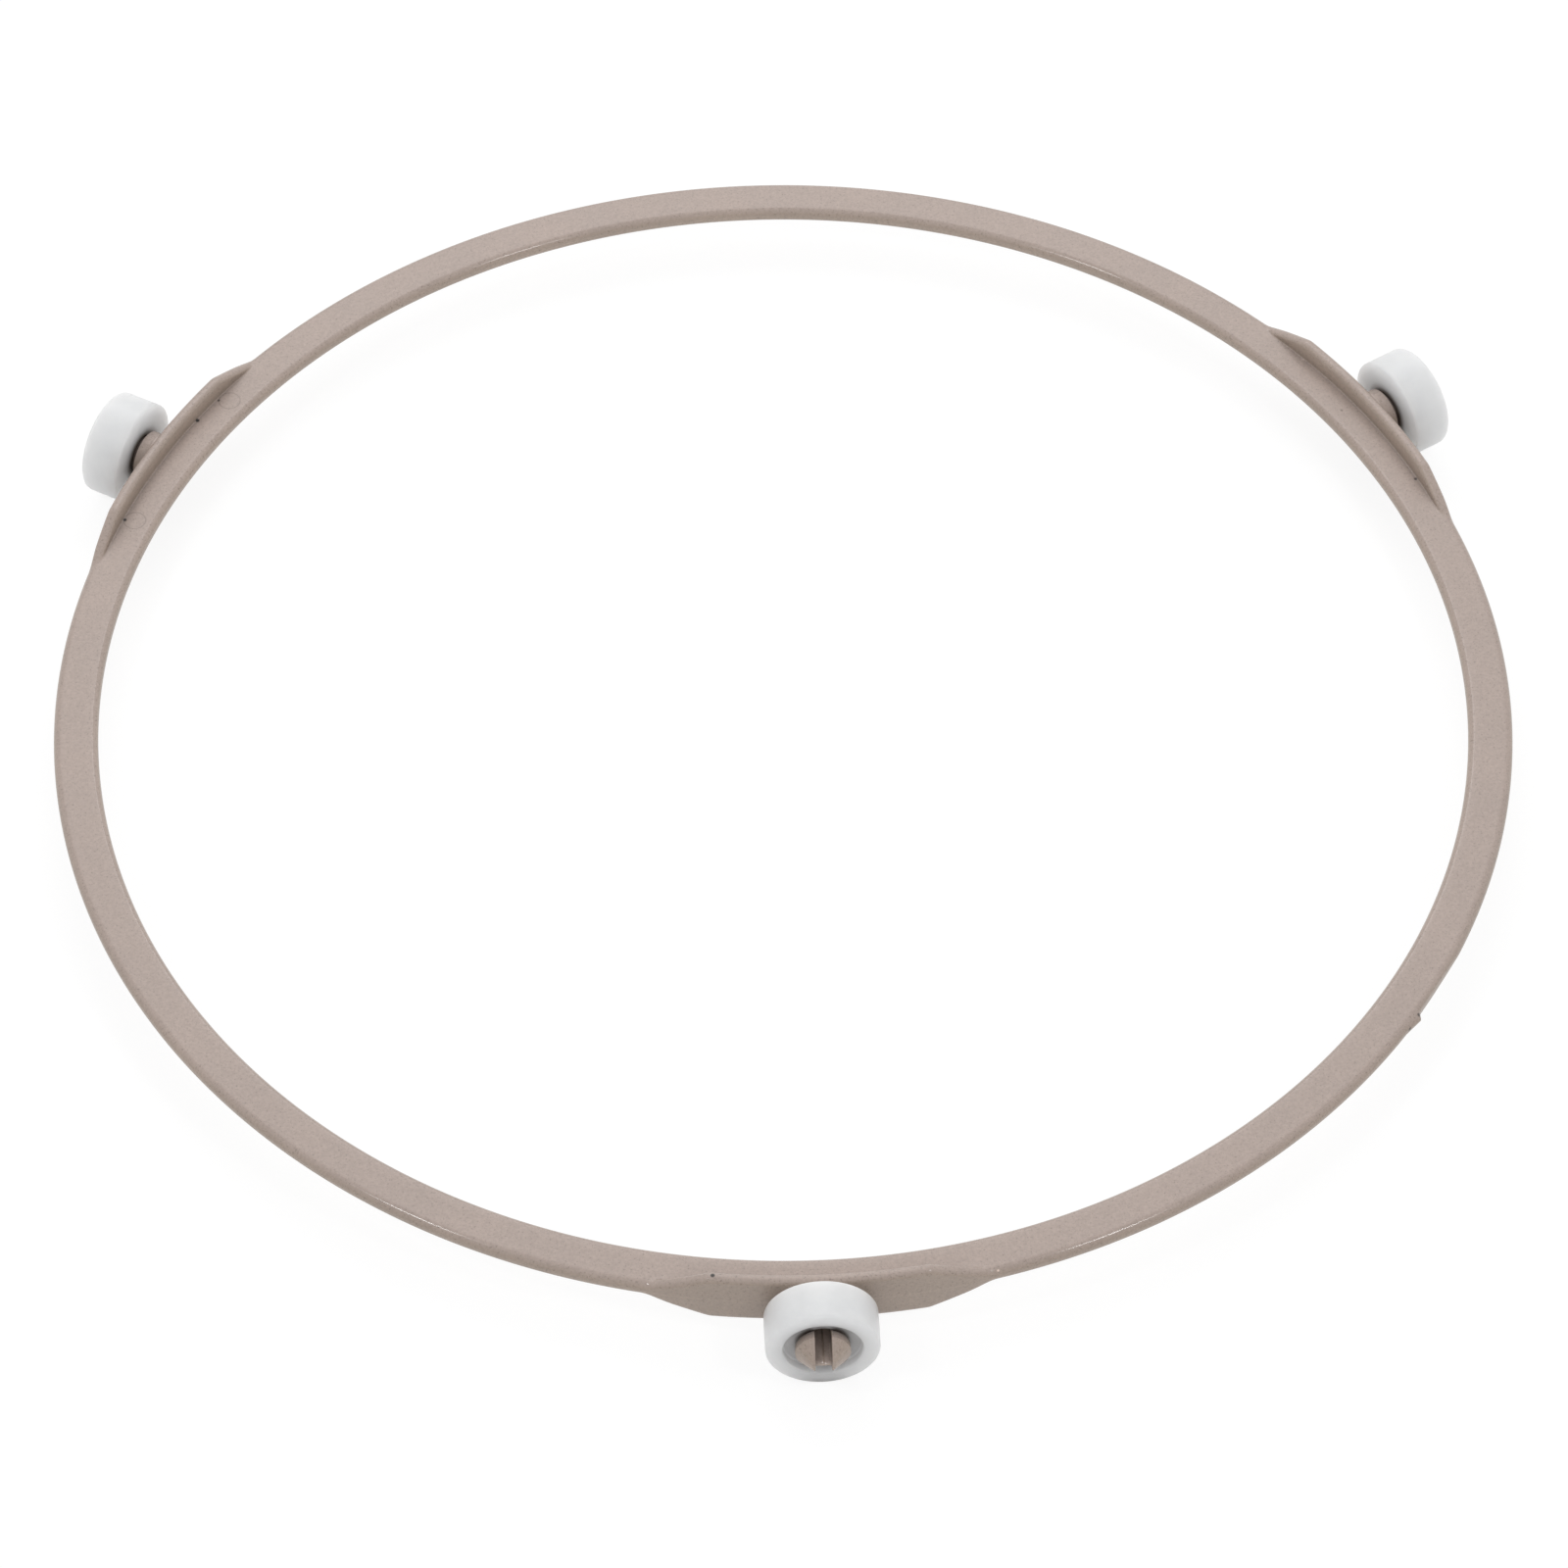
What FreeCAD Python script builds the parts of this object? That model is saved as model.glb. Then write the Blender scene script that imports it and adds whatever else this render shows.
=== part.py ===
# Roller ring for a microwave oven's glass tray: one moulded ring frame, with three plain
# rollers snapped onto its split axles. Millimetres, +Z up. The origin is on the ring's axis,
# on the oven floor that the rollers stand on. The first roller points along -Y.
import FreeCAD, Part
import math
import os

from FreeCAD import Vector

# Ring bar: a flat hoop with rounded edges
ring_outer_diameter = 190.0
bar_width = 5.75
bar_height = 2.2
bar_edge_radius = 0.92

# Rollers: turned about a radial axis, with a recess in the outer face for the axle's barb
roller_diameter = 14.0
roller_width = 5.4
roller_edge_radius = 0.5
recess_depth = 1.25
recess_lip_radius = 0.4

# Plates: six-sided walls on the bar's outer edge, which carry the axles
plate_height = 7.8
plate_thickness = 1.5
plate_proud = 0.2
plate_draft = 0.1
plate_shoulder_length = 26.8
plate_length = 44.0
plate_end_height = 1.0
plate_shoulder_radius = 3.0
plate_edge_radius = 0.35

# Axles: a shoulder boss, a journal and a split barb that the roller snaps over.
# The clearance, shoulder, overlap and room are radial; the float is the gap at each end.
# The slot is cut from above and from below, and a web is left between the two cuts.
axle_diameter = 5.2
axle_clearance = 0.1
end_float = 0.2
boss_shoulder = 0.8
boss_length = 1.7
barb_overlap = 0.7
barb_room = 1.5
barb_land = 1.2
cone_length = 2.1
tip_diameter = 2.9
slot_width = 2.05
slot_root = 1.0
slot_web = 0.7

# Gate mark: the stub left where the moulding was broken off its runner
gate_azimuth = 54.0
gate_stub_length = 2.6
gate_stub_height = 1.2
gate_stub_proud = 0.5

# Azimuths are measured about +Z from the first roller towards +X
roller_azimuths = {"front": 0.0, "right": 120.0, "left": 240.0}
first_roller_direction = -90.0

# Radii and heights that follow from the sizes above
ring_outer_radius = ring_outer_diameter / 2
ring_inner_radius = ring_outer_radius - bar_width
axle_height = roller_diameter / 2
plate_outer_radius = ring_outer_radius + plate_proud
plate_inner_radius = plate_outer_radius - plate_thickness
boss_end = plate_outer_radius + boss_length
roller_inner_face = boss_end + end_float
roller_outer_face = roller_inner_face + roller_width
recess_floor = roller_outer_face - recess_depth
barb_back = recess_floor + end_float
cone_start = barb_back + barb_land
axle_tip = cone_start + cone_length
bore_diameter = axle_diameter + 2 * axle_clearance
boss_diameter = bore_diameter + 2 * boss_shoulder
barb_diameter = bore_diameter + 2 * barb_overlap
recess_diameter = barb_diameter + 2 * barb_room

WORLD_Z = Vector(0, 0, 1)
RADIAL = Vector(1, 0, 0)
CENTRE = Vector(0, 0, 0)
AXLE_CENTRE = Vector(0, 0, axle_height)

# A rounding takes at most this share of the wall that it is on
ROUNDING_SHARE = 0.42


def limited(radius, wall):
    """A rounding that never uses up the wall it is on."""
    return min(radius, ROUNDING_SHARE * wall)


def rounded_face(corners):
    """A flat face through (point, radius) corners, each rounded by a tangent arc of its radius."""
    count = len(corners)
    arcs = []
    for index, (point, radius) in enumerate(corners):
        before = (corners[index - 1][0] - point).normalize()
        after = (corners[(index + 1) % count][0] - point).normalize()
        half_turn = before.getAngle(after) / 2
        reach = radius / math.tan(half_turn)
        inward = (before + after).normalize() * (radius / math.sin(half_turn) - radius)
        arcs.append((point + before * reach, point + inward, point + after * reach))
    edges = []
    for index, (start, middle, end) in enumerate(arcs):
        if corners[index][1] > 0:
            edges.append(Part.Arc(start, middle, end).toShape())
        edges.append(Part.LineSegment(end, arcs[(index + 1) % count][0]).toShape())
    return Part.Face(Part.Wire(edges))


def across(radius, height):
    """A point of a radial section: its distance from the ring's axis and its height."""
    return Vector(radius, 0, height)


def ring_bar():
    """The flat hoop, with all four edges rounded."""
    low = axle_height - bar_height / 2
    high = axle_height + bar_height / 2
    edge = limited(bar_edge_radius, min(bar_height, bar_width))
    section = rounded_face([
        (across(ring_inner_radius, low), edge),
        (across(ring_outer_radius, low), edge),
        (across(ring_outer_radius, high), edge),
        (across(ring_inner_radius, high), edge),
    ])
    return section.revolve(CENTRE, WORLD_Z, 360)


def plate_outline():
    """The face of a plate, seen along its axle: six-sided, with rounded shoulders and blunt points."""
    shoulder = plate_shoulder_length / 2
    point = plate_length / 2
    half_height = plate_height / 2
    half_end = plate_end_height / 2
    corners = [
        (-point, -half_end, 0), (-shoulder, -half_height, plate_shoulder_radius),
        (shoulder, -half_height, plate_shoulder_radius), (point, -half_end, 0),
        (point, half_end, 0), (shoulder, half_height, plate_shoulder_radius),
        (-shoulder, half_height, plate_shoulder_radius), (-point, half_end, 0),
    ]
    return rounded_face([(Vector(0, along, axle_height + up), radius) for along, up, radius in corners])


def plate():
    """A wall that follows the bar's curve. Its outer face leans back both ways from mid-height."""
    half_height = plate_height / 2
    wall = Part.Face(Part.makePolygon([
        across(plate_inner_radius, axle_height - half_height),
        across(plate_outer_radius - plate_draft, axle_height - half_height),
        across(plate_outer_radius, axle_height),
        across(plate_outer_radius - plate_draft, axle_height + half_height),
        across(plate_inner_radius, axle_height + half_height),
        across(plate_inner_radius, axle_height - half_height),
    ]))
    half_angle = math.degrees(math.asin(plate_length / 2 / plate_inner_radius))
    wall.rotate(CENTRE, WORLD_Z, -half_angle)
    band = wall.revolve(CENTRE, WORLD_Z, 2 * half_angle)
    blank = band.common(plate_outline().extrude(RADIAL * plate_outer_radius))
    slope = math.atan2(plate_height - plate_end_height, plate_length - plate_shoulder_length)
    narrowest = min(plate_thickness - plate_draft, plate_end_height * math.cos(slope))
    return blank.makeFillet(limited(plate_edge_radius, narrowest), long_rim_edges(blank))


def long_rim_edges(blank):
    """The edges round a plate's two faces, without its blunt ends and its mid-height line."""
    near = plate_end_height / 4
    rim = []
    for edge in blank.Edges:
        first = edge.Vertexes[0].Point
        last = edge.Vertexes[-1].Point
        runs_along = abs(first.y - last.y) > near
        on_mid_line = max(abs(first.z - axle_height), abs(last.z - axle_height)) < near
        if runs_along and not on_mid_line:
            rim.append(edge)
    return rim


def axle():
    """The boss that stands on the plate, the journal, and the slotted barb with its cone."""
    bury = (plate_inner_radius + plate_outer_radius) / 2
    outline = [
        (bury, 0), (bury, boss_diameter / 2), (boss_end, boss_diameter / 2), (boss_end, axle_diameter / 2),
        (barb_back, axle_diameter / 2), (barb_back, barb_diameter / 2), (cone_start, barb_diameter / 2),
        (axle_tip, tip_diameter / 2), (axle_tip, 0), (bury, 0),
    ]
    section = Part.Face(Part.makePolygon([across(along, axle_height + out) for along, out in outline]))
    pin = section.revolve(AXLE_CENTRE, RADIAL, 360)
    slot_start = boss_end + slot_root
    slot_length = axle_tip - slot_start + slot_width
    half_web = slot_web / 2
    for cut_low in (axle_height + half_web, axle_height - half_web - barb_diameter):
        corner = Vector(slot_start, -slot_width / 2, cut_low)
        pin = pin.cut(Part.makeBox(slot_length, slot_width, barb_diameter, corner))
    return pin


def gate_stub():
    """A broken-off wedge on the bar's outer edge, at mid-height."""
    half_length = gate_stub_length / 2
    low = axle_height - gate_stub_height / 2
    root = ring_outer_radius - bar_edge_radius
    plan = Part.Face(Part.makePolygon([
        Vector(root, -half_length, low),
        Vector(ring_outer_radius + gate_stub_proud, 0, low),
        Vector(root, half_length, low),
        Vector(root, -half_length, low),
    ]))
    return plan.extrude(WORLD_Z * gate_stub_height)


def turned_to(shape, azimuth):
    """A copy of a shape that was drawn along +X, turned to its place round the ring."""
    copy = shape.copy()
    copy.rotate(CENTRE, WORLD_Z, first_roller_direction + azimuth)
    return copy


def ring_frame():
    """The bar, the plates with their axles and the gate stub, moulded as one piece."""
    bracket = plate().fuse(axle())
    pieces = [turned_to(bracket, azimuth) for azimuth in roller_azimuths.values()]
    pieces.append(turned_to(gate_stub(), gate_azimuth))
    return ring_bar().fuse(pieces).removeSplitter()


def roller():
    """A plain wheel: bored for the axle, recessed on its outer face, rounded at its edges."""
    rim = (roller_diameter - recess_diameter) / 2
    edge = limited(roller_edge_radius, min(rim, roller_width))
    lip = limited(recess_lip_radius, min(rim, recess_depth))
    tread = axle_height + roller_diameter / 2
    bore = axle_height + bore_diameter / 2
    recess = axle_height + recess_diameter / 2
    section = rounded_face([
        (across(roller_inner_face, bore), 0),
        (across(recess_floor, bore), 0),
        (across(recess_floor, recess), 0),
        (across(roller_outer_face, recess), lip),
        (across(roller_outer_face, tread), edge),
        (across(roller_inner_face, tread), edge),
    ])
    return section.revolve(AXLE_CENTRE, RADIAL, 360)


os.makedirs("parts", exist_ok=True)
ring_frame().exportStep("parts/ring_frame.step")
for side, azimuth in roller_azimuths.items():
    turned_to(roller(), azimuth).exportStep("parts/roller_" + side + ".step")
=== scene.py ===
import math

import bmesh
import bpy
import numpy as np
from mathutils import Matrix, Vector


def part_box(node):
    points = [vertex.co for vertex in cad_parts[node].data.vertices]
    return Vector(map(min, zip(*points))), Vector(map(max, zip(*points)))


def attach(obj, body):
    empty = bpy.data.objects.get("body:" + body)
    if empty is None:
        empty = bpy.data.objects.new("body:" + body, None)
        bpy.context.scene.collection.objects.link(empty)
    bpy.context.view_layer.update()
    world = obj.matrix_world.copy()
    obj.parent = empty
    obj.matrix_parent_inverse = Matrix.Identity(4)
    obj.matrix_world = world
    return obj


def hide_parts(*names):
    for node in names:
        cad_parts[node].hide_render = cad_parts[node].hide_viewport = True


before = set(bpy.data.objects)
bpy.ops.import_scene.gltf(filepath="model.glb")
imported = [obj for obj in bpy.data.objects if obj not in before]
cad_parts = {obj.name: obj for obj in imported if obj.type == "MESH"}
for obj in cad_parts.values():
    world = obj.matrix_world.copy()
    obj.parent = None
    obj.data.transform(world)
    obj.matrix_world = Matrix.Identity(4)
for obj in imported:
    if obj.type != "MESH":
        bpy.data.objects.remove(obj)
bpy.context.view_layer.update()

# Hoop and plates of the ring frame.
# The frame is one moulding in taupe plastic. Its hoop is a flat bar with half-round edges, and on
# its outer edge three six-sided plates rise above and below the bar to carry the axles.
MM = 0.001
frame_low, frame_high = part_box("ring_frame")
hoop_outer_radius = frame_high.y
axle_height = (frame_low.z + frame_high.z) / 2
axle_tip = -frame_low.y
roller_azimuths = {"front": 0.0, "right": 120.0, "left": 240.0}

bar_width = 5.75 * MM
bar_half_height = 1.1 * MM
bar_edge = 1.0 * MM
hoop_inner_radius = hoop_outer_radius - bar_width

plate_half_height = (frame_high.z - frame_low.z) / 2
plate_clear_height = 2 * bar_half_height
plate_thickness = 1.5 * MM
plate_proud = 0.2 * MM
plate_draft = 0.1 * MM
plate_half_shoulder = 13.4 * MM
plate_half_length = 22.0 * MM
plate_half_end = 0.5 * MM
plate_edge = 0.66 * MM
plate_foot_fillet = 0.2 * MM
plate_shoulder_rounding = 0.15 * MM
plate_outer_radius = hoop_outer_radius + plate_proud
plate_inner_radius = plate_outer_radius - plate_thickness
plate_middle_radius = (plate_inner_radius + plate_outer_radius) / 2

# The gate is where the moulding was twisted off its runner: a torn nib, then a trimmed hollow
gate_azimuths = (52.8, 54.4, 54.9, 55.6, 58.2, 61.5)
gate_heights = (0.0, 0.43 * MM, -0.20 * MM, -0.40 * MM, -0.38 * MM, 0.0)
gate_half_height = 0.9 * MM


def eased(value, low, high):
    """Nought below the low limit, one above the high one, and a smooth rise between them."""
    share = np.clip((value - low) / (high - low), 0, 1)
    return share * share * (3 - 2 * share)


def melted(first, second, width):
    """The lesser of two values, with a soft passage of a given width from one to the other."""
    share = np.maximum(width - np.abs(first - second), 0) / width
    return np.minimum(first, second) - share * share * width / 4


def rounded_box(across, up, inner, outer, half_height, edge):
    """Distance from points of a section to a box with rounded corners, below nought inside it."""
    past_side = np.abs(across - (inner + outer) / 2) - (outer - inner) / 2 + edge
    past_top = np.abs(up) - half_height + edge
    corner = np.hypot(np.maximum(past_side, 0), np.maximum(past_top, 0))
    return corner + np.minimum(np.maximum(past_side, past_top), 0) - edge


def outline_points(distance, centre, guides, longest):
    """Points where the rays from a section's centre towards its guides cross its outline."""
    rays = guides - centre
    rays = rays / np.linalg.norm(rays, axis=-1, keepdims=True)
    inside = np.zeros(rays.shape[:-1])
    outside = np.full(rays.shape[:-1], longest)
    halvings = 40
    for _ in range(halvings):
        middle = (inside + outside) / 2
        is_outside = distance(centre + rays * middle[..., None]) > 0
        outside = np.where(is_outside, middle, outside)
        inside = np.where(is_outside, inside, middle)
    return centre + rays * inside[..., None]


def corner_arc(centre_across, centre_up, size, start, end, steps=5):
    """Points of a section round an arc, whose angles in degrees run from across towards up."""
    turns = np.radians(np.linspace(start, end, steps + 1))
    return [(centre_across + size * math.cos(t), centre_up + size * math.sin(t)) for t in turns]


def azimuth_between(first, second):
    """The angle between azimuths, in degrees, the short way round."""
    return np.abs((first - second + 180) % 360 - 180)


def hoop_stations():
    """Azimuths of the hoop's sections, closer together along the plates, at shoulders and at the gate."""
    plain_step, plate_step, fine_step = 0.6, 0.25, 0.1
    plate_reach, shoulder_reach, gate_reach = 15.0, 0.8, 4.5
    shoulder = math.degrees(math.asin(plate_half_shoulder / plate_middle_radius))
    gate_middle = (gate_azimuths[0] + gate_azimuths[-1]) / 2
    stations = [0.0]
    while stations[-1] < 360:
        azimuth = stations[-1]
        to_plate = min(azimuth_between(azimuth, place) for place in roller_azimuths.values())
        by_shoulder = abs(to_plate - shoulder) < shoulder_reach
        by_gate = azimuth_between(azimuth, gate_middle) < gate_reach
        step = fine_step if by_shoulder or by_gate else plate_step if to_plate < plate_reach else plain_step
        stations.append(azimuth + step)
    return np.array(stations[:-1])


def plate_rise(stations):
    """Half the height of the plate at each station, below nought where there is none."""
    away = np.min([azimuth_between(stations, place) for place in roller_azimuths.values()], axis=0)
    along = plate_middle_radius * np.sin(np.radians(away))
    slope = (plate_half_height - plate_half_end) / (plate_half_length - plate_half_shoulder)
    taper = plate_half_end + (plate_half_length - along) * slope
    return melted(taper, plate_half_height, plate_shoulder_rounding)


def section_corners(rise):
    """Corners of the upper half of a section, from its inner to its outer edge, with a plate or without."""
    top = bar_half_height
    edge_middle = top - bar_edge
    flat_start = hoop_inner_radius + bar_edge
    flat_end = hoop_outer_radius - bar_edge
    plain = [(flat_end - bar_edge / 2, top), (flat_end, top)]
    plain += corner_arc(flat_end, edge_middle, bar_edge, 70, 10, 3)
    plate_top = max(rise, top)
    plated = [
        (plate_inner_radius - plate_foot_fillet, top),
        (plate_inner_radius, top + plate_foot_fillet),
        (plate_inner_radius, plate_top - plate_edge),
        (plate_inner_radius + plate_edge, plate_top),
        (plate_outer_radius - plate_draft - plate_edge, plate_top),
        (plate_outer_radius - plate_draft, plate_top - plate_edge),
    ]
    share = float(eased(rise, bar_half_height, plate_clear_height))
    blended = [tuple(np.array(a) * (1 - share) + np.array(b) * share) for a, b in zip(plain, plated)]
    corners = [(hoop_inner_radius, 0), (hoop_inner_radius, edge_middle)]
    corners += corner_arc(flat_start, edge_middle, bar_edge, 150, 120, 1)
    return corners + [(flat_start, top)] + blended + [(hoop_outer_radius, 0)]


def section_guides(rise):
    """Points near a whole section's outline, once round, closest together at its corners."""
    corners = section_corners(rise)
    points_to_next = (1, 3, 3, 3, 4, 4, 3, 6, 2, 6, 6)
    upper = []
    for start, end, count in zip(corners, corners[1:], points_to_next):
        for step in range(count):
            upper.append(np.array(start) + (np.array(end) - np.array(start)) * step / count)
    upper.append(np.array(corners[-1]))
    lower = [point * (1, -1) for point in upper[-2:0:-1]]
    return upper + lower


def placed(section, azimuth):
    """Points of a radial section, as distance from the ring's axis and height, set at an azimuth."""
    turn = math.radians(azimuth)
    across, up = section[:, 0], section[:, 1]
    return np.stack([across * math.sin(turn), -across * math.cos(turn), axle_height + up], axis=1)


def hoop_rings():
    """Sections of the hoop with its plates and gate, one ring of points for each station."""
    stations = hoop_stations()
    rise = plate_rise(stations)
    guides = np.array([section_guides(height) for height in rise])
    core_radius = plate_inner_radius + plate_edge
    height = rise[:, None]
    bar_outer = hoop_outer_radius - bar_edge / 2 * eased(height, bar_half_height, plate_clear_height)
    plate_outer = hoop_outer_radius + plate_proud * eased(height, plate_half_end, plate_clear_height)
    gate = np.interp(stations, gate_azimuths, gate_heights)[:, None]

    def distance(points):
        across, up = points[..., 0], points[..., 1]
        at_edge = eased(across, core_radius, hoop_outer_radius) * np.exp(-(up / gate_half_height) ** 2)
        across = across - gate * at_edge
        bar = rounded_box(across, up, hoop_inner_radius, bar_outer, bar_half_height, bar_edge)
        lean = plate_draft * np.abs(up) / plate_half_height
        plate = rounded_box(across + lean, up, plate_inner_radius, plate_outer, height, plate_edge)
        return melted(bar, plate, plate_foot_fillet)

    points = outline_points(distance, np.array((core_radius, 0)), guides, 2 * bar_width)
    return np.stack([placed(ring, azimuth) for ring, azimuth in zip(points, stations)])


def skinned(name, rings, closed):
    """A mesh object over rings of points. It joins up with its first ring, or has flat ends."""
    count, size = rings.shape[:2]
    faces = []
    for ring in range(count if closed else count - 1):
        here, there = ring * size, (ring + 1) % count * size
        for spot in range(size):
            after = (spot + 1) % size
            faces.append((here + spot, here + after, there + after, there + spot))
    if not closed:
        faces.append(tuple(range(size)))
        faces.append(tuple(range((count - 1) * size, count * size)))
    mesh = bpy.data.meshes.new(name)
    mesh.from_pydata(rings.reshape(-1, 3).tolist(), [], faces)
    shell = bmesh.new()
    shell.from_mesh(mesh)
    bmesh.ops.recalc_face_normals(shell, faces=shell.faces)
    shell.to_mesh(mesh)
    shell.free()
    piece = bpy.data.objects.new(name, mesh)
    bpy.context.collection.objects.link(piece)
    return piece


ring_frame = skinned("moulded_ring_frame", hoop_rings(), closed=True)

# Axles of the ring frame.
# Each plate carries a round boss and a stub axle, moulded with it. A slot, cut from above and below
# down to a thin web, splits the axle into two petals. The roller was pushed over their barb.
roller_low, roller_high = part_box("roller_front")
roller_inner_face = -roller_high.y
roller_outer_face = -roller_low.y
end_float = 0.2 * MM
shoulder_relief = 0.2 * MM
boss_end = roller_inner_face - end_float - shoulder_relief
boss_radius = 3.5 * MM
boss_fillet = 0.2 * MM
boss_edge = 0.2 * MM
boss_sides = 96
journal_radius = 2.6 * MM
journal_solid_end = roller_inner_face + 0.8 * MM
recess_depth = 1.25 * MM
barb_seat = roller_outer_face - recess_depth + end_float
barb_back = barb_seat + shoulder_relief
barb_radius = 3.4 * MM
barb_edge = 0.12 * MM
cone_start = barb_seat + 1.2 * MM
tip_radius = 1.45 * MM
tip_edge = 0.15 * MM
tip_edge_inset = 0.09 * MM
slot_half_width = 1.025 * MM
petal_spring = 0.03 * MM
petal_root = journal_solid_end - 0.4 * MM
petal_corner = 0.2 * MM
petal_round_points = 29
petal_flat_points = 17
web_half_height = 0.35 * MM
web_bite = 0.2 * MM
web_ridge = 0.12 * MM
web_setback = 0.3 * MM
web_end_share = 0.5


def around_axle(along, side, up, azimuth):
    """Points given along, beside and above an axle, set at that axle's azimuth."""
    turn = math.radians(azimuth)
    x = along * math.sin(turn) + side * math.cos(turn)
    y = -along * math.cos(turn) + side * math.sin(turn)
    return np.stack([x, y, axle_height + up], axis=-1)


def turned_rings(profile, azimuth, sides):
    """Rings of points for a round body turned about an axle, from its profile of places and radii."""
    turns = np.linspace(0, 2 * math.pi, sides, endpoint=False)
    rings = [
        around_axle(np.full(sides, along), radius * np.cos(turns), radius * np.sin(turns), azimuth)
        for along, radius in profile
    ]
    return np.stack(rings)


def boss_profile():
    """The boss with its fillet on the plate, and the solid root of the journal."""
    fillet_end = plate_outer_radius + boss_fillet
    foot_radius = boss_radius + boss_fillet
    profile = [(plate_middle_radius, foot_radius)]
    profile += corner_arc(fillet_end, foot_radius, boss_fillet, 180, 270)
    profile += corner_arc(boss_end - boss_edge, boss_radius - boss_edge, boss_edge, 90, 0)
    profile += [(boss_end, journal_radius), (journal_solid_end, journal_radius)]
    return profile


def petal_profile():
    """Places and radii along a petal: journal, barb, land and cone."""
    bare_radius = journal_radius - petal_spring
    profile = [(petal_root, bare_radius), (barb_back - barb_edge, bare_radius), (barb_back, bare_radius)]
    profile += corner_arc(barb_back + barb_edge, barb_radius - barb_edge, barb_edge, 180, 90, 3)
    for share in (0.5, 0.92, 1.0):
        profile.append((barb_back + (cone_start - barb_back) * share, barb_radius))
    for share in (0.05, 0.2, 0.4, 0.6, 0.8):
        along = cone_start + (axle_tip - cone_start) * share
        profile.append((along, barb_radius + (tip_radius - barb_radius) * share))
    profile += corner_arc(axle_tip - tip_edge, tip_radius - tip_edge_inset, tip_edge, 60, 0, 4)
    return profile


def petal_section(radius):
    """A round bar's section, cut off flat at the slot, with its two corners eased."""
    half_turn = math.acos(slot_half_width / radius)
    half_chord = radius * math.sin(half_turn)
    round_turns = half_turn * np.sin(np.linspace(-math.pi / 2, math.pi / 2, petal_round_points))
    flat_turns = np.linspace(math.pi / 2, -math.pi / 2, petal_flat_points)
    flat_places = half_chord * np.sin(flat_turns)[1:-1]
    round_guides = np.stack([radius * np.cos(round_turns), radius * np.sin(round_turns)], axis=1)
    flat_guides = np.stack([np.full(len(flat_places), slot_half_width), flat_places], axis=1)
    corner = min(petal_corner, (radius - slot_half_width) / 2)

    def distance(points):
        past_round = np.hypot(points[..., 0], points[..., 1]) - radius
        past_slot = slot_half_width - points[..., 0]
        return -melted(-past_round, -past_slot, corner)

    centre = np.array(((slot_half_width + radius) / 2, 0))
    return outline_points(distance, centre, np.concatenate([round_guides, flat_guides]), 2 * radius)


def petal_rings(azimuth, side):
    """Sections of one petal, from its root in the journal to its tip."""
    rings = []
    for along, radius in petal_profile():
        section = petal_section(radius)
        places = np.full(len(section), along)
        rings.append(around_axle(places, side * section[:, 0], section[:, 1], azimuth))
    return np.stack(rings)


def web_rings(azimuth):
    """Sections of the web that closes the slot at mid-height, with the low ridge where the two cuts met."""
    half_width = slot_half_width + web_bite
    half = [(half_width, web_half_height), (web_ridge, web_half_height), (0, web_half_height + web_ridge)]
    upper = half + [(-side, up) for side, up in half[1::-1]]
    section = np.array(upper + [(side, -up) for side, up in upper[::-1]])
    web_end = axle_tip - web_setback
    places = ((petal_root, 1.0), (web_end - web_half_height, 1.0), (web_end, web_end_share))
    rings = [
        around_axle(np.full(len(section), along), section[:, 0], section[:, 1] * share, azimuth)
        for along, share in places
    ]
    return np.stack(rings)


def joined(body, addition):
    """Makes one closed solid of a body and an addition that overlaps it."""
    union = body.modifiers.new("union", "BOOLEAN")
    union.operation = "UNION"
    union.solver = "EXACT"
    union.object = addition
    shape = body.evaluated_get(bpy.context.evaluated_depsgraph_get())
    mesh = bpy.data.meshes.new_from_object(shape)
    body.modifiers.clear()
    body.data = mesh
    bpy.data.objects.remove(addition)


for azimuth in roller_azimuths.values():
    boss = skinned("boss", turned_rings(boss_profile(), azimuth, boss_sides), closed=False)
    for side in (-1, 1):
        joined(boss, skinned("petal", petal_rings(azimuth, side), closed=False))
    joined(boss, skinned("web", web_rings(azimuth), closed=False))
    joined(ring_frame, boss)

# Finish of the ring frame.
# The plastic is filled, so its satin surface shows a fine speckle. Its colour carries painted light by
# facing: the flats are painted greyer and lighter as a sheen, and the rounded edges and walls warmer and
# darker as shade. The rounded edges are smoother. A few burnt specks lie by the plates.
# Colours by facing: the flat one carries painted sheen, the edge and wall ones carry painted shade
taupe_flat_painted_sheen = (0.423, 0.341, 0.301)
taupe_edge_painted_shade = (0.388, 0.304, 0.247)
taupe_wall_painted_shade = (0.388, 0.311, 0.259)
flat_roughness = 0.42
edge_roughness = 0.12
wall_roughness = 0.36
roughness_spread = 0.04
smooth_angle = math.radians(38)

# Flatness is one on level faces and nought on upright ones. Each pair is where a change starts and ends
wall_to_edge = (0.2, 0.5)
edge_to_painted_sheen = (0.3, 0.98)
edge_to_satin = (0.955, 0.99)

# The speckle's sizes, and the shades between which it goes
noise_span = (0.3, 0.7)
cloud_size = 9 * MM
cloud_shades = (0.96, 1.04)
grain_size = 0.36 * MM
grain_shades = (0.915, 1.10)
grain_relief = 0.012 * MM
relief_strengths = (0.3, 1.0)
fleck_size = 0.27 * MM
fleck_span = (0.60, 0.74)
fleck_shades = (1.0, 0.70)

# Corners and the slots are darkened with painted shade, and the parting line round the middle is lighter
corner_reach = 2.0 * MM
corner_span = (0.25, 0.9)
corner_painted_shades = (0.72, 1.0)
slot_span = (0.1, 0.6)
slot_painted_shades = (0.2, 1.0)
parting_half_width = 0.10 * MM
parting_shades = (1.15, 1.0)

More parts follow.
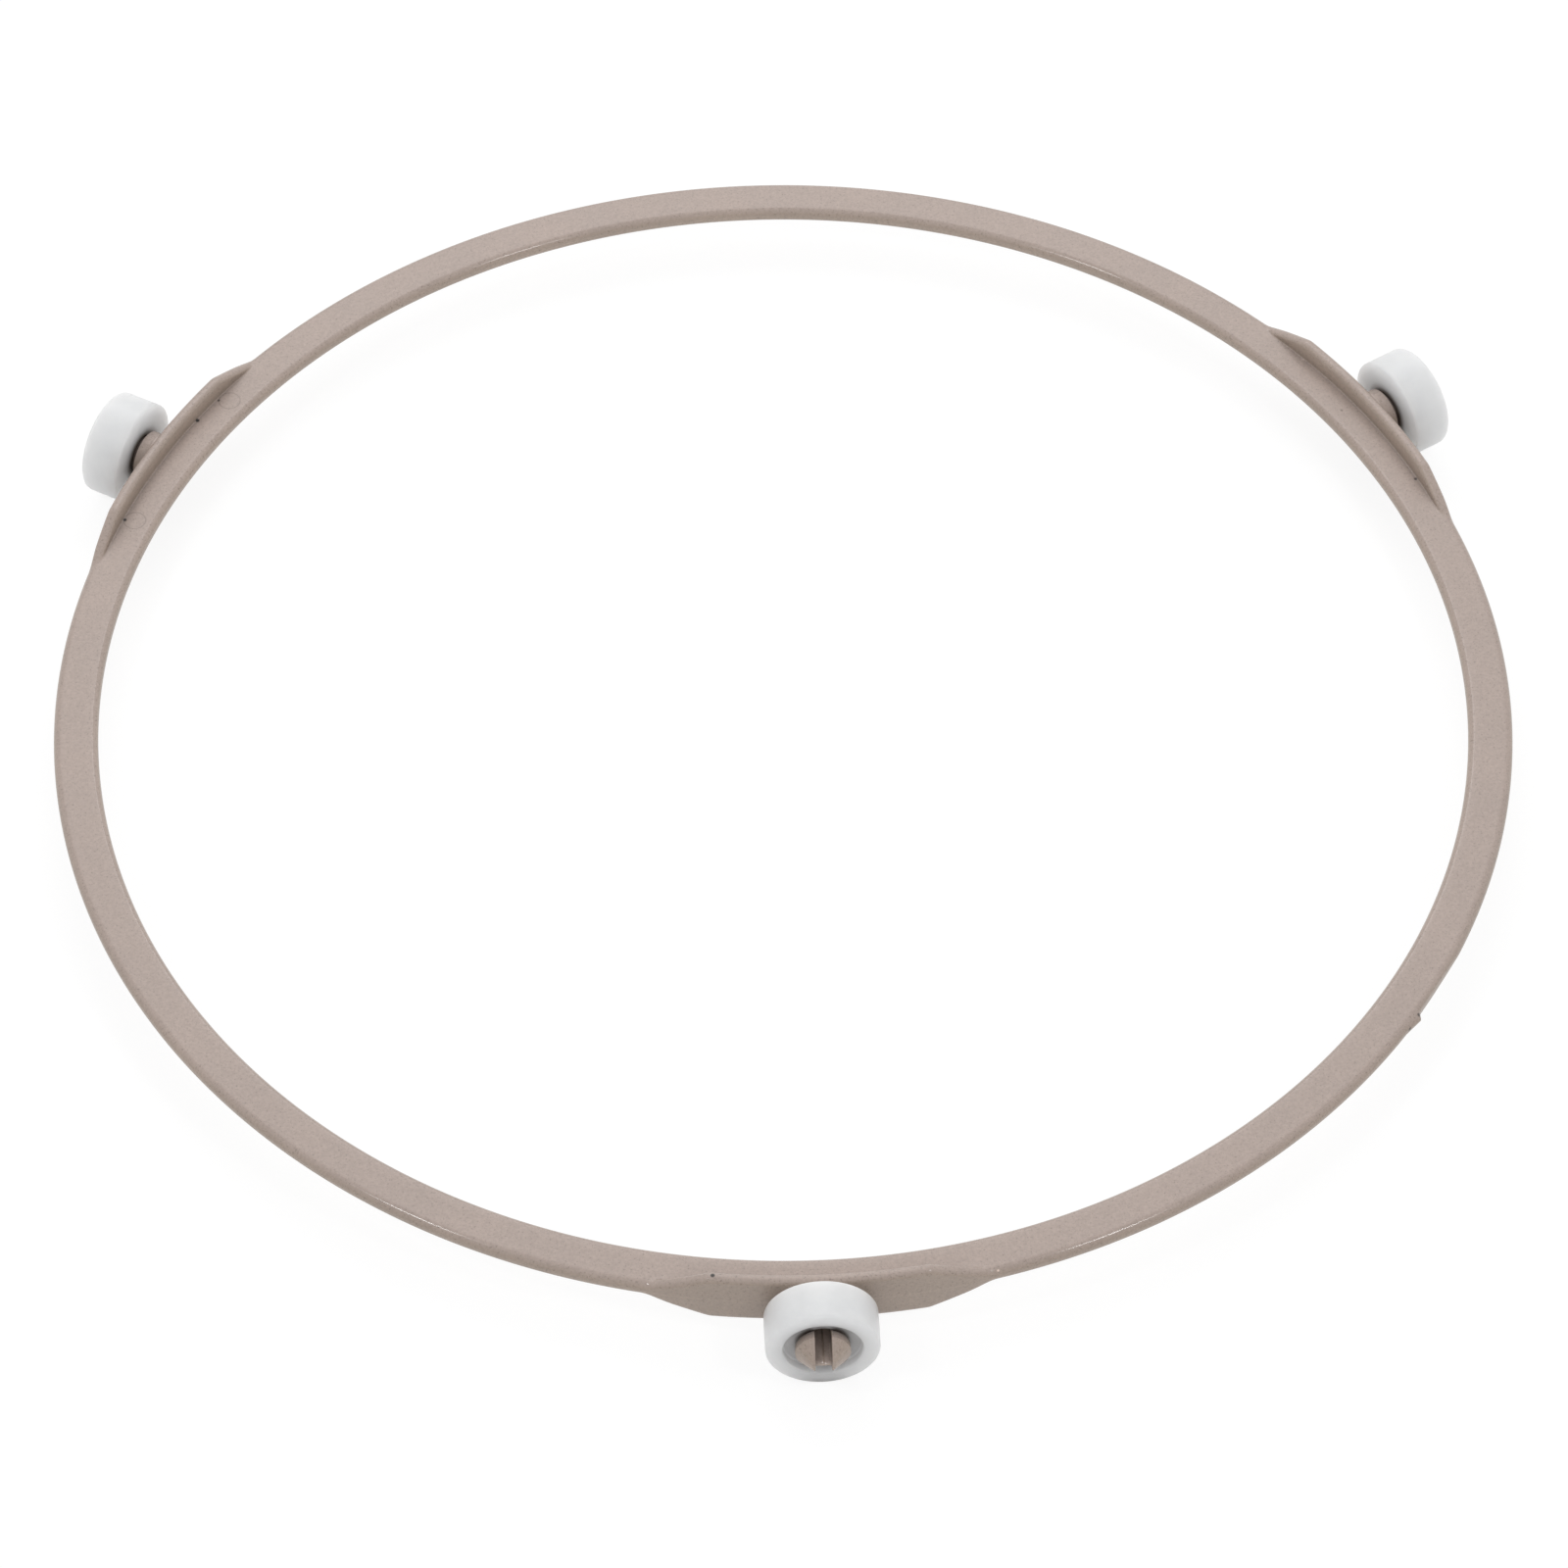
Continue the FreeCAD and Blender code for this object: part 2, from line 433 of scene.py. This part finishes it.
# Azimuth, radius, height above the axle and size of the specks and nicks, and their brightness
specks = (
    (235.2, 93.5 * MM, 1.1 * MM, 0.38 * MM, 0.03),
    (247.5, 93.4 * MM, 1.1 * MM, 0.32 * MM, 0.05),
    (232.4, 93.3 * MM, 1.1 * MM, 0.24 * MM, 0.25),
    (112.0, 93.4 * MM, 1.1 * MM, 0.30 * MM, 0.25),
    (121.6, 91.5 * MM, 1.1 * MM, 0.24 * MM, 0.60),
    (352.1, 94.3 * MM, 3.88 * MM, 0.36 * MM, 0.05),
    (53.1, 95.05 * MM, 0.2 * MM, 0.32 * MM, 0.30),
    (54.45, 94.95 * MM, 0.6 * MM, 0.34 * MM, 0.25),
    (128.0, 93.4 * MM, 1.1 * MM, 0.30 * MM, 1.25),
    (13.35, 94.7 * MM, 0.83 * MM, 0.20 * MM, 2.00),
)
ejector_azimuths = (231.9, 247.3)
ejector_radius = 92.1 * MM
ejector_mark_radius = 1.45 * MM
ejector_line = 0.14 * MM
ejector_shades = (0.72, 1.0)


def smooth_shaded(piece):
    """Shades a piece smooth, and keeps its sharp corners."""
    piece.data.shade_smooth()
    piece.data.set_sharp_from_angle(angle=smooth_angle)


def new_material(name):
    """A material with its node tree and its one surface shader."""
    material = bpy.data.materials.new(name)
    material.use_nodes = True
    tree = material.node_tree
    shader = tree.nodes["Principled BSDF"]
    return material, tree, shader


def axes_of(tree, vector):
    """The values of a vector along X, Y and Z."""
    axes = tree.nodes.new("ShaderNodeSeparateXYZ")
    tree.links.new(vector, axes.inputs["Vector"])
    return axes.outputs


def noise(tree, coordinates, feature_size, detail, roughness=0.55):
    """Noise on the object's own coordinates, with features of about a given size in metres."""
    texture = tree.nodes.new("ShaderNodeTexNoise")
    texture.inputs["Scale"].default_value = 1 / feature_size
    texture.inputs["Detail"].default_value = detail
    texture.inputs["Roughness"].default_value = roughness
    tree.links.new(coordinates, texture.inputs["Vector"])
    return texture.outputs["Fac"]


def remapped(tree, value, span, results=(0.0, 1.0)):
    """A value's span, from its start to its end, carried over to the results at those two ends."""
    ramp = tree.nodes.new("ShaderNodeMapRange")
    tree.links.new(value, ramp.inputs["Value"])
    ramp.inputs["From Min"].default_value = span[0]
    ramp.inputs["From Max"].default_value = span[1]
    ramp.inputs["To Min"].default_value = results[0]
    ramp.inputs["To Max"].default_value = results[1]
    return ramp.outputs["Result"]


def combined(tree, operation, first, second):
    """Arithmetic on two values, of which the second may be a plain number."""
    result = tree.nodes.new("ShaderNodeMath")
    result.operation = operation
    tree.links.new(first, result.inputs[0])
    if isinstance(second, float):
        result.inputs[1].default_value = second
    else:
        tree.links.new(second, result.inputs[1])
    return result.outputs["Value"]


def away_from(tree, value, level):
    """How far a value is from a level, either way."""
    return combined(tree, "ABSOLUTE", combined(tree, "SUBTRACT", value, level), 0.0)


def mixed_colour(tree, share, first, second):
    """A colour that goes from the first to the second as the share goes from nought to one."""
    mix = tree.nodes.new("ShaderNodeMix")
    mix.data_type = "RGBA"
    tree.links.new(share, mix.inputs["Factor"])
    for socket, colour in (("A", first), ("B", second)):
        target = next(s for s in mix.inputs if s.name == socket and s.type == "RGBA")
        if isinstance(colour, tuple):
            target.default_value = (*colour, 1)
        else:
            tree.links.new(colour, target)
    return next(s for s in mix.outputs if s.type == "RGBA")


def brightened(tree, colour, factor):
    """A colour multiplied by a factor that varies over the surface."""
    scale = tree.nodes.new("ShaderNodeVectorMath")
    scale.operation = "SCALE"
    tree.links.new(colour, scale.inputs["Vector"])
    tree.links.new(factor, scale.inputs["Scale"])
    return scale.outputs["Vector"]


def distance_to(tree, coordinates, point):
    """Distance of the surface from a point of the object."""
    away = tree.nodes.new("ShaderNodeVectorMath")
    away.operation = "DISTANCE"
    tree.links.new(coordinates, away.inputs[0])
    away.inputs[1].default_value = point
    return away.outputs["Value"]


def with_marks(tree, coordinates, colour):
    """A colour with the specks and the rings left by the ejector pins worked into it."""
    for azimuth, radius, up, size, kept in specks:
        point = placed(np.array([(radius, up)]), azimuth)[0]
        away = distance_to(tree, coordinates, point)
        colour = brightened(tree, colour, remapped(tree, away, (size / 2, size), (kept, 1.0)))
    for azimuth in ejector_azimuths:
        point = placed(np.array([(ejector_radius, bar_half_height)]), azimuth)[0]
        off_line = away_from(tree, distance_to(tree, coordinates, point), ejector_mark_radius)
        colour = brightened(tree, colour, remapped(tree, off_line, (0.0, ejector_line), ejector_shades))
    return colour


def openness(tree, reach, span, results=(0.0, 1.0)):
    """Goes from the first result in corners and gaps closer than a reach to the second on open faces."""
    hidden = tree.nodes.new("ShaderNodeAmbientOcclusion")
    hidden.inputs["Distance"].default_value = reach
    return remapped(tree, hidden.outputs["AO"], span, results)


def bumped(tree, shader, height, depth):
    """Gives the shader a relief of a given depth in metres, and hands back its node."""
    bump = tree.nodes.new("ShaderNodeBump")
    bump.inputs["Distance"].default_value = depth
    tree.links.new(height, bump.inputs["Height"])
    tree.links.new(bump.outputs["Normal"], shader.inputs["Normal"])
    return bump


def taupe_with_painted_sheen_and_shade(tree, flatness):
    """The colour with painted light by facing: painted sheen makes the flats greyer and lighter, and painted
    shade makes the walls and rounded edges warmer and darker.
    """
    colour = mixed_colour(tree, remapped(tree, flatness, wall_to_edge), taupe_wall_painted_shade, taupe_edge_painted_shade)
    return mixed_colour(tree, remapped(tree, flatness, edge_to_painted_sheen), colour, taupe_flat_painted_sheen)


def satin_roughness(tree, flatness, cloud):
    """Low on the rounded edges, higher on the flats and the walls, and a little uneven."""
    on_flat = remapped(tree, flatness, edge_to_satin, (edge_roughness, flat_roughness))
    on_wall = remapped(tree, flatness, wall_to_edge, (wall_roughness - edge_roughness, 0.0))
    unevenness = remapped(tree, cloud, noise_span, (-roughness_spread, roughness_spread))
    return combined(tree, "ADD", combined(tree, "ADD", on_flat, on_wall), unevenness)


def ring_plastic():
    """Taupe satin plastic with a fine speckle, its marks, painted sheen and shade by facing, and painted
    shade in corners and slots.
    """
    material, tree, shader = new_material("ring_plastic")
    coordinates = tree.nodes.new("ShaderNodeTexCoord").outputs["Object"]
    normal = tree.nodes.new("ShaderNodeNewGeometry").outputs["True Normal"]
    flatness = combined(tree, "ABSOLUTE", axes_of(tree, normal)["Z"], 0.0)
    off_parting = away_from(tree, axes_of(tree, coordinates)["Z"], axle_height)
    cloud = noise(tree, coordinates, cloud_size, 3.0)
    grain = noise(tree, coordinates, grain_size, 2.0, 0.7)
    fleck = noise(tree, coordinates, fleck_size, 1.0)
    shades = (
        remapped(tree, cloud, noise_span, cloud_shades),
        remapped(tree, grain, noise_span, grain_shades),
        remapped(tree, fleck, fleck_span, fleck_shades),
        # Painted shade in the corners, at the plates' feet and deep in the slots
        openness(tree, corner_reach, corner_span, corner_painted_shades),
        openness(tree, corner_reach, slot_span, slot_painted_shades),
        remapped(tree, off_parting, (0.0, parting_half_width), parting_shades),
    )
    colour = with_marks(tree, coordinates, taupe_with_painted_sheen_and_shade(tree, flatness))
    for shade in shades:
        colour = brightened(tree, colour, shade)
    tree.links.new(colour, shader.inputs["Base Color"])
    satin = satin_roughness(tree, flatness, cloud)
    tree.links.new(satin, shader.inputs["Roughness"])
    relief = bumped(tree, shader, combined(tree, "ADD", grain, cloud), grain_relief)
    strength = remapped(tree, satin, (edge_roughness, wall_roughness), relief_strengths)
    tree.links.new(strength, relief.inputs["Strength"])
    return material


smooth_shaded(ring_frame)
ring_frame.data.materials.append(ring_plastic())
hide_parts("ring_frame")
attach(ring_frame, "frame")

# Rollers.
# Three plain wheels in white, low-friction plastic, bored to run freely on the axles. The outer face
# is recessed for the barb, and all edges are softly rounded. Each has a little play along its axle.
roller_radius = (roller_high.z - roller_low.z) / 2
roller_edge = 0.5 * MM
roller_inner_edge = 0.3 * MM
roller_sides = 128
bore_radius = 2.7 * MM
bore_edge = 0.15 * MM
recess_radius = 4.9 * MM
recess_lip = 0.25 * MM
recess_corner = 0.25 * MM
recess_floor = roller_outer_face - recess_depth
roller_white = (0.765, 0.78, 0.79)
roller_shade = (0.725, 0.74, 0.755)
roller_cloud_size = 3 * MM
roller_cloud_span = (0.35, 0.65)
roller_roughness = (0.34, 0.46)
roller_grain_size = 0.35 * MM
roller_grain_relief = 0.006 * MM
# Painted shade where the roller lies close to the axle, tinted brown as a painted reflection of the petals
roller_painted_shade_colour = (0.17, 0.125, 0.10)
painted_shade_reach = 1.7 * MM
painted_shade_span = (0.2, 0.8)
wax_reach = 10.0 * MM
roller_play = {"front": -0.15 * MM, "right": 0.15 * MM, "left": 0.15 * MM}


def roller_profile():
    """Half of the roller's section, once round from the end of the bore in the recess."""
    bore_end = bore_radius + bore_edge
    inner, outer = roller_inner_face, roller_outer_face
    shoulder = roller_radius - roller_edge
    profile = corner_arc(recess_floor - bore_edge, bore_end, bore_edge, 270, 360, 3)
    floor_end = recess_radius - recess_corner
    profile += [(recess_floor, bore_end + (floor_end - bore_end) * share) for share in (0.33, 0.67)]
    profile += corner_arc(recess_floor + recess_corner, floor_end, recess_corner, 180, 90, 4)
    profile += corner_arc(outer - recess_lip, recess_radius + recess_lip, recess_lip, 270, 360, 6)
    profile += corner_arc(outer - roller_edge, shoulder, roller_edge, 0, 90, 8)
    profile += [(outer + (inner - outer) * share, roller_radius) for share in (0.3, 0.5, 0.7)]
    inner_shoulder = roller_radius - roller_inner_edge
    profile += corner_arc(inner + roller_inner_edge, inner_shoulder, roller_inner_edge, 90, 180, 8)
    profile += [(inner, bore_end + (shoulder - bore_end) * share) for share in (0.75, 0.5, 0.25)]
    profile += corner_arc(inner + bore_edge, bore_end, bore_edge, 180, 270, 3)
    return profile


def roller_plastic():
    """White, slightly waxy plastic with faint clouding, and painted shade, tinted brown as a painted
    reflection of the petals, where it lies close to the axle.
    """
    material, tree, shader = new_material("roller_plastic")
    coordinates = tree.nodes.new("ShaderNodeTexCoord").outputs["Object"]
    cloud = noise(tree, coordinates, roller_cloud_size, 3.0)
    grain = noise(tree, coordinates, roller_grain_size, 2.0)
    # Nought in the painted shade close to the axle and one on open faces; it also thins the subsurface there
    clear_of_painted_shade = openness(tree, painted_shade_reach, painted_shade_span)
    clean = mixed_colour(tree, remapped(tree, cloud, roller_cloud_span), roller_shade, roller_white)
    tree.links.new(mixed_colour(tree, clear_of_painted_shade, roller_painted_shade_colour, clean), shader.inputs["Base Color"])
    tree.links.new(remapped(tree, cloud, noise_span, roller_roughness), shader.inputs["Roughness"])
    tree.links.new(clear_of_painted_shade, shader.inputs["Subsurface Weight"])
    shader.inputs["Subsurface Radius"].default_value = (1, 1, 1)
    shader.inputs["Subsurface Scale"].default_value = wax_reach
    bumped(tree, shader, grain, roller_grain_relief)
    return material


white_plastic = roller_plastic()
for side, azimuth in roller_azimuths.items():
    profile = [(along + roller_play[side], radius) for along, radius in roller_profile()]
    roller = skinned("roller_wheel_" + side, turned_rings(profile, azimuth, roller_sides), closed=True)
    smooth_shaded(roller)
    roller.data.materials.append(white_plastic)
    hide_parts("roller_" + side)
    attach(roller, side + "_roller")

# Floor and light.
# A plain white sweep in a white tent, with a large lamp behind and a small one to each side in front. The
# floor is lit as an ordinary white surface and keeps a faint shadow, but the camera sees it lifted to white.
floor_half_size = 4.0
floor_drop = 0.02 * MM
floor_white = 0.94
floor_seen_white = 0.18
floor_lift = 0.86
tent_front_level = 0.57
tent_back_level = 0.82
tent_seen_level = 1.0
lamps = {
    "left": {"direction": (-0.52, -0.28, 0.81), "size": 0.08, "power": 0.30},
    "right": {"direction": (0.47, -0.45, 0.76), "size": 0.08, "power": 0.33},
    "back": {"direction": (0.0, 0.67, 0.74), "size": 0.40, "power": 0.95},
}
lamp_distance = 0.65


def camera_share(tree):
    """One for rays that show the background to the camera, straight, mirrored or through glass."""
    path = tree.nodes.new("ShaderNodeLightPath")
    share = combined(tree, "MAXIMUM", path.outputs["Is Camera Ray"], path.outputs["Is Glossy Ray"])
    return combined(tree, "MAXIMUM", share, path.outputs["Is Transmission Ray"])


def matt_white(tree, level):
    """A matt shader of a given whiteness."""
    matt = tree.nodes.new("ShaderNodeBsdfDiffuse")
    matt.inputs["Color"].default_value = (level, level, level, 1)
    return matt.outputs["BSDF"]


def floor_material():
    """A white floor, a little darker but lifted by its own light where the camera sees it."""
    material = bpy.data.materials.new("white_floor")
    material.use_nodes = True
    tree = material.node_tree
    tree.nodes.clear()
    lift = tree.nodes.new("ShaderNodeEmission")
    lift.inputs["Strength"].default_value = floor_lift
    seen = tree.nodes.new("ShaderNodeAddShader")
    tree.links.new(matt_white(tree, floor_seen_white), seen.inputs[0])
    tree.links.new(lift.outputs["Emission"], seen.inputs[1])
    choice = tree.nodes.new("ShaderNodeMixShader")
    tree.links.new(camera_share(tree), choice.inputs["Fac"])
    tree.links.new(matt_white(tree, floor_white), choice.inputs[1])
    tree.links.new(seen.outputs["Shader"], choice.inputs[2])
    output = tree.nodes.new("ShaderNodeOutputMaterial")
    tree.links.new(choice.outputs["Shader"], output.inputs["Surface"])
    return material


bpy.ops.mesh.primitive_plane_add(size=2 * floor_half_size, location=(0, 0, -floor_drop))
floor = bpy.context.object
floor.name = "floor"
floor.data.materials.append(floor_material())

# The tent is brighter behind than in front, and plain white where the camera or a reflection shows it
world = bpy.data.worlds.new("white_tent")
bpy.context.scene.world = world
world.use_nodes = True
tent = world.node_tree
backdrop = tent.nodes["Background"]
backdrop.inputs["Color"].default_value = (1, 1, 1, 1)
tent_direction = axes_of(tent, tent.nodes.new("ShaderNodeTexCoord").outputs["Generated"])
tent_level = remapped(tent, tent_direction["Y"], (-1.0, 1.0), (tent_front_level, tent_back_level))
seen_level = remapped(tent, camera_share(tent), (0.0, 1.0), (tent_front_level, tent_seen_level))
tent.links.new(tent_level, seen_level.node.inputs["To Min"])
tent.links.new(seen_level, backdrop.inputs["Strength"])

for side, settings in lamps.items():
    lamp_data = bpy.data.lights.new("lamp_" + side, "AREA")
    lamp_data.shape = "SQUARE"
    lamp_data.size = settings["size"]
    lamp_data.energy = settings["power"]
    lamp = bpy.data.objects.new("lamp_" + side, lamp_data)
    bpy.context.collection.objects.link(lamp)
    towards = Vector(settings["direction"]).normalized()
    lamp.location = towards * lamp_distance
    lamp.rotation_mode = "QUATERNION"
    lamp.rotation_quaternion = towards.to_track_quat("Z", "Y")

# Camera.
# It stands where the photograph was taken: high in front, a little left of the front roller, with a
# long lens. Its place and its lens were solved from the outlines of the ring and the rollers.
camera_azimuth = math.radians(2.69)
camera_elevation = math.radians(49.905)
camera_distance = 877.4 * MM
camera_aim = Vector((-0.25 * MM, -7.47 * MM, 0))
picture_width = 1600
focal_length_pixels = 6814.0

camera_data = bpy.data.cameras.new("camera")
camera_data.lens = focal_length_pixels * camera_data.sensor_width / picture_width
camera = bpy.data.objects.new("camera", camera_data)
bpy.context.collection.objects.link(camera)
camera.location = camera_distance * Vector((
    -math.cos(camera_elevation) * math.sin(camera_azimuth),
    -math.cos(camera_elevation) * math.cos(camera_azimuth),
    math.sin(camera_elevation),
))
camera.rotation_mode = "QUATERNION"
camera.rotation_quaternion = (camera_aim - camera.location).to_track_quat("-Z", "Y")
bpy.context.scene.camera = camera
bpy.context.scene.view_settings.view_transform = "Standard"
